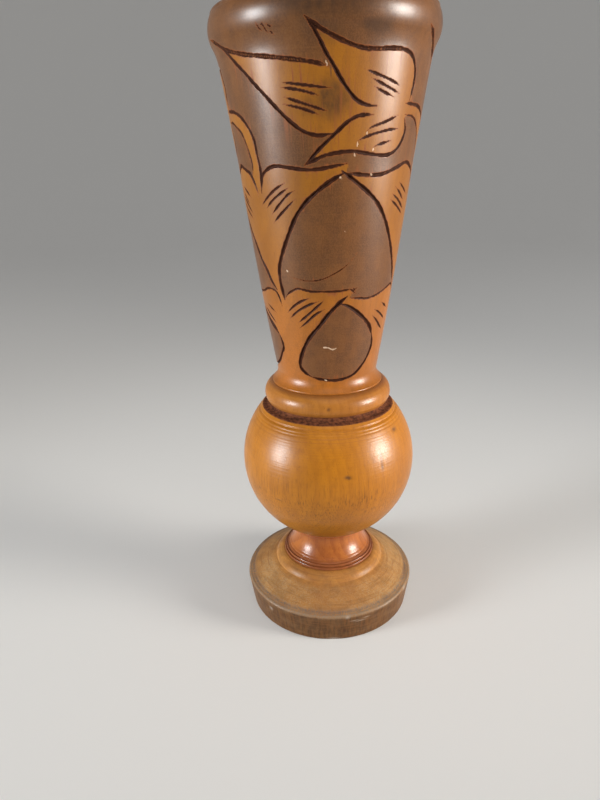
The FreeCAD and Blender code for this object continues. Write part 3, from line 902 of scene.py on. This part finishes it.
def collar_material():
    paint, wood, rough = turned_wood("collar_wood", (0.39, 0.145, 0.020), (0.22, 0.070, 0.010), 0.45,
                                     pith=(0.12, 0.05))
    low = base_of("collar") * MM
    # Painted shade: the collar's top is painted darker where the cup overhangs it, and its lowest edge darker
    # where it sits on the ball.
    shade_under_cup = paint.ramp(paint.height(), low + 0.0082, low + 0.0104, 0.0, 0.7)
    colour = paint.mix(shade_under_cup, wood.colour, (0.17, 0.055, 0.014))
    shade_over_ball = paint.ramp(paint.height(), low + 0.0002, low + 0.0022, 0.5, 0.0)
    colour = paint.mix(shade_over_ball, colour, (0.20, 0.065, 0.016))
    colour = paint.mix(paint.times(paint.field("dent"), 0.85), colour, (0.06, 0.02, 0.01))
    return paint.finish(colour, rough, wood.relief, 0.24, 0.0004, coat=0.45, coat_rough=0.26)


def stem_material():
    paint, wood, rough = turned_wood("stem_wood", (0.42, 0.132, 0.024), (0.19, 0.040, 0.010), 0.38,
                                     pith=(0.07, 0.09), ring_share=0.3)
    low = base_of("stem") * MM
    # Painted shade: the beads at the stem's base are painted darker where the stem meets the foot.
    beads = paint.ramp(paint.height(), low + 0.0030, low + 0.0050, 0.6, 0.0)
    colour = paint.mix(beads, wood.colour, (0.19, 0.060, 0.024))
    shade = paint.ramp(paint.height(), low + 0.012, low + 0.0178, 0.0, 0.6)
    colour = paint.mix(shade, colour, (0.15, 0.030, 0.012))
    return paint.finish(colour, rough, wood.relief, 0.14, 0.0003, coat=0.5, coat_rough=0.24)


def foot_material():
    paint, wood, rough = turned_wood("foot_wood", (0.50, 0.225, 0.052), (0.24, 0.082, 0.018), 0.52,
                                     pith=(0.10, 0.11))
    up = paint.height()
    # Painted shade: the foot's upright side is painted far darker than its top, with streaks of grain in it.
    side = paint.ramp(up, 0.0160, 0.0176, 0.92, 0.0)
    shaded_side_grain = paint.tint((0.120, 0.048, 0.012), (0.052, 0.019, 0.005), wood.streaks, 0.38, 0.62)
    colour = paint.mix(side, wood.colour, shaded_side_grain)
    speck = paint.noise((1500, 1500, 1500), detail=3, shift=(3, 3, 3))
    patchy = paint.times(paint.ramp(speck, 0.35, 0.7, 0.15, 0.8),
                         paint.ramp(wood.blotch, 0.3, 0.7, 1.0, 0.35))
    dust = paint.times(paint.field("dust"), patchy)
    colour = paint.mix(dust, colour, (0.44, 0.33, 0.19))
    murk = paint.ramp(paint.noise((120, 120, 300), detail=5, shift=(6, 1, 2)), 0.40, 0.68, 0.0, 0.4)
    colour = paint.mix(murk, colour, (0.20, 0.105, 0.042))
    ring = paint.times(paint.ramp(paint.noise((60, 60, 1700), detail=2, shift=(2, 2, 0)), 0.5, 0.7), 0.4)
    colour = paint.mix(ring, colour, (0.20, 0.085, 0.028))
    worn = paint.times(paint.field("edge_wear"), paint.ramp(speck, 0.3, 0.6, 0.2, 1.0))
    colour = paint.mix(worn, colour, (0.25, 0.185, 0.130))
    grey = paint.times(paint.field("edge_grime"), paint.ramp(speck, 0.35, 0.65, 0.25, 0.85))
    colour = paint.mix(grey, colour, (0.12, 0.10, 0.095))
    colour = paint.mix(paint.times(paint.field("dent"), 0.8), colour, (0.40, 0.32, 0.25))
    return paint.finish(colour, paint.math("MULTIPLY_ADD", dust, 0.3, rough), wood.relief, 0.35, 0.0004,
                        coat=paint.math("MULTIPLY_ADD", paint.field("dust"), -0.2, 0.24), coat_rough=0.32)


def bowl_material():
    paint = Paint("carved_wood")
    up = paint.height()
    golden = paint.tint((0.39, 0.120, 0.012), (0.30, 0.108, 0.005), up, 0.15, 0.23)
    wood = Wood(paint, golden, (0.17, 0.055, 0.004), pith=(0.12, 0.05), streaky=0.25)
    ragged = paint.noise((420, 420, 260), detail=4, shift=(2, 8, 1))
    stain_edge = paint.math("ADD", paint.field("stain"), paint.ramp(ragged, 0.3, 0.7, -0.22, 0.22))
    stain = paint.ramp(stain_edge, 0.35, 0.65)
    wash = paint.ramp(paint.noise((60, 60, 40), detail=5, shift=(9, 1, 3)), 0.3, 0.7)
    dark = paint.mix(wash, (0.085, 0.030, 0.007), (0.150, 0.055, 0.013))
    dark = paint.tint(dark, (0.070, 0.024, 0.008), wood.streaks, 0.42, 0.7, 0.0, 0.2)
    dark = paint.tint(dark, (0.075, 0.026, 0.008), wood.mottle, 0.40, 0.66, 0.0, 0.55)
    dark = paint.tint(dark, (0.23, 0.095, 0.030), wood.lathe, 0.48, 0.72, 0.0, 0.16)
    tone = paint.tint(wood.colour, (0.24, 0.082, 0.008), wood.grit, 0.40, 0.62, 0.0, 0.38)
    colour = paint.mix(paint.times(stain, 0.95), tone, paint.mix(
        paint.ramp(wood.grit, 0.42, 0.6, 0.0, 0.28), dark, (0.21, 0.090, 0.028)))
    blots = 0.0
    for smudge in SMUDGES:
        blots = paint.math("MAXIMUM", blots, paint.patch(*smudge))
    # Dark blots: pooled stain, and a painted dark reflection on the front of the rim band.
    stain_and_reflection_blots = paint.times(blots, paint.ramp(ragged, 0.3, 0.65, 0.6, 1.0))
    colour = paint.mix(stain_and_reflection_blots, colour, (0.046, 0.020, 0.008))
    inside = paint.tint((0.30, 0.135, 0.035), (0.15, 0.060, 0.020), wood.streaks, 0.4, 0.65)
    colour = paint.mix(paint.field("within"), colour, inside)
    cut = paint.field("cut")
    lip = paint.times(paint.ramp(cut, 0.04, 0.3), paint.ramp(ragged, 0.3, 0.6, 0.5, 1.0))
    colour = paint.mix(lip, colour, (0.235, 0.070, 0.018))
    # Painted shade: the hearts of the cuts are painted near-black for the shade inside the grooves.
    heart = paint.ramp(paint.field("ink"), 0.25, 0.8)
    colour = paint.mix(heart, colour, paint.mix(ragged, (0.014, 0.004, 0.0015), (0.060, 0.016, 0.005)))
    # Pale marks: partly bare wood, partly painted glints on the cut walls.
    bare_wood_and_glint = paint.ramp(paint.field("bare_and_glint"), 0.2, 0.7, 0.0, 0.85)
    colour = paint.mix(bare_wood_and_glint, colour, (0.62, 0.44, 0.30))
    rough = paint.ramp(wood.mottle, 0.3, 0.7, 0.40, 0.52)
    rough = paint.math("MULTIPLY_ADD", cut, 0.2, rough)
    dull = paint.math("SUBTRACT", 1.0, paint.ramp(cut, 0.1, 0.6), clamp=True)
    return paint.finish(colour, rough, wood.skin, 0.22, 0.0004, coat=paint.times(dull, 0.62),
                        coat_rough=0.30)


def dowel_material():
    paint, wood, rough = turned_wood("dowel_wood", (0.62, 0.44, 0.25), (0.45, 0.28, 0.13), 0.6,
                                     pith=(0.02, 0.03))
    return paint.finish(wood.colour, rough, wood.relief, 0.3, 0.0004)


# Floor, light and camera


def stage_material(name, colour, roughness, glow):
    """Matt paper that the camera, and anything shiny, sees a little paler than the lamps leave it."""
    paint = Paint(name)
    rays = paint.node("ShaderNodeLightPath")
    seen = paint.math("MAXIMUM", rays.outputs["Is Camera Ray"], rays.outputs["Is Glossy Ray"])
    seen = paint.math("MAXIMUM", seen, rays.outputs["Is Transmission Ray"])
    surface = paint.node("ShaderNodeBsdfPrincipled")
    paint.feed(surface.inputs["Base Color"], colour)
    surface.inputs["Roughness"].default_value = roughness
    paint.feed(surface.inputs["Emission Color"], colour)
    paint.feed(surface.inputs["Emission Strength"], paint.times(seen, glow))
    output = paint.node("ShaderNodeOutputMaterial")
    paint.tree.links.new(surface.outputs["BSDF"], output.inputs["Surface"])
    return paint.material


def make_stage():
    """A pale round floor that curves up into a pale wall all round."""
    reach, bend, rise, sides = 2.6, 0.9, 2.2, 96
    profile = [(reach - bend, 0.0)]
    profile += [(reach - bend + bend * math.sin(a), bend - bend * math.cos(a))
                for a in np.linspace(0, math.pi / 2, 16)[1:]]
    profile.append((reach, rise))
    vertices = [(0.0, 0.0, 0.0)]
    for radius, height in profile:
        vertices += [(radius * math.cos(a), radius * math.sin(a), height)
                     for a in np.linspace(0, 2 * math.pi, sides, endpoint=False)]
    faces = [(0, 1 + n, 1 + (n + 1) % sides) for n in range(sides)]
    for row in range(len(profile) - 1):
        low, high = 1 + row * sides, 1 + (row + 1) * sides
        faces += [(low + n, high + n, high + (n + 1) % sides, low + (n + 1) % sides) for n in range(sides)]
    mesh = bpy.data.meshes.new("stage_sweep")
    mesh.from_pydata(vertices, [], faces)
    mesh.shade_smooth()
    stage = bpy.data.objects.new("stage_sweep", mesh)
    bpy.context.collection.objects.link(stage)
    mesh.materials.append(stage_material("stage_paper", (0.62, 0.61, 0.59), 0.8, 0.30))


def area_light(name, azimuth, elevation, distance, size, power, colour, aim=0.17, spread=180):
    """A soft rectangular light round the goblet; azimuth 0 is behind the camera, and 90 is to the right."""
    lamp = bpy.data.lights.new(name, "AREA")
    lamp.shape = "RECTANGLE"
    lamp.size, lamp.size_y = size
    lamp.energy = power
    lamp.spread = math.radians(spread)
    lamp.color = colour
    light = bpy.data.objects.new(name, lamp)
    turn, lift = math.radians(azimuth), math.radians(elevation)
    away = Vector((math.sin(turn) * math.cos(lift), -math.cos(turn) * math.cos(lift), math.sin(lift)))
    target = Vector((0, 0, aim))
    light.location = target + away * distance
    light.visible_camera = False
    light.rotation_euler = (-away).to_track_quat("-Z", "Y").to_euler()
    bpy.context.collection.objects.link(light)


def make_lights():
    """Two soft lamps left and right with narrow beams, a broad light overhead and a weak fill in front."""
    area_light("light_left", -69, 6, 1.30, (0.40, 0.54), 2.1, (0.95, 0.98, 1.0), aim=0.22, spread=48)
    area_light("light_right", 73, 6, 1.30, (0.50, 0.54), 3.0, (1.0, 0.96, 0.90), aim=0.22, spread=48)
    area_light("light_top", 20, 78, 1.5, (1.6, 1.6), 5.0, (1.0, 1.0, 1.0))
    area_light("light_front", 8, 50, 1.7, (1.2, 1.2), 2.0, (1.0, 0.97, 0.93))
    world = bpy.data.worlds.new("studio")
    world.use_nodes = True
    world.node_tree.nodes["Background"].inputs["Color"].default_value = (0.90, 0.93, 1.0, 1)
    world.node_tree.nodes["Background"].inputs["Strength"].default_value = 0.10
    bpy.context.scene.world = world


CAMERA_PLACE = (-0.0149, -0.305, 0.242)
CAMERA_DOWN = 21.2
CAMERA_ROLL = -1.54
CAMERA_LENS = 27.05
CAMERA_SENSOR = 36.0


def make_camera():
    """The close, slightly high view, looking down past the rim."""
    data = bpy.data.cameras.new("camera")
    data.sensor_width = CAMERA_SENSOR
    data.lens = CAMERA_LENS
    data.clip_start = 0.01
    camera = bpy.data.objects.new("camera", data)
    tilt = Matrix.Rotation(math.radians(90 - CAMERA_DOWN), 4, "X")
    roll = Matrix.Rotation(math.radians(CAMERA_ROLL), 4, "Z")
    camera.matrix_world = Matrix.Translation(CAMERA_PLACE) @ tilt @ roll
    bpy.context.collection.objects.link(camera)
    bpy.context.scene.camera = camera


adopt(make_bowl(), "bowl", bowl_material())
adopt(make_knop(), "knop", knop_material())
adopt(make_collar(), "collar", collar_material())
adopt(make_stem(), "stem", stem_material())
adopt(make_foot(), "foot", foot_material())
for dowel in ("stem_dowel", "bowl_dowel"):
    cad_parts[dowel].data.materials.clear()
    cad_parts[dowel].data.materials.append(dowel_material())
make_stage()
make_lights()
make_camera()
bpy.context.scene.view_settings.view_transform = "Standard"
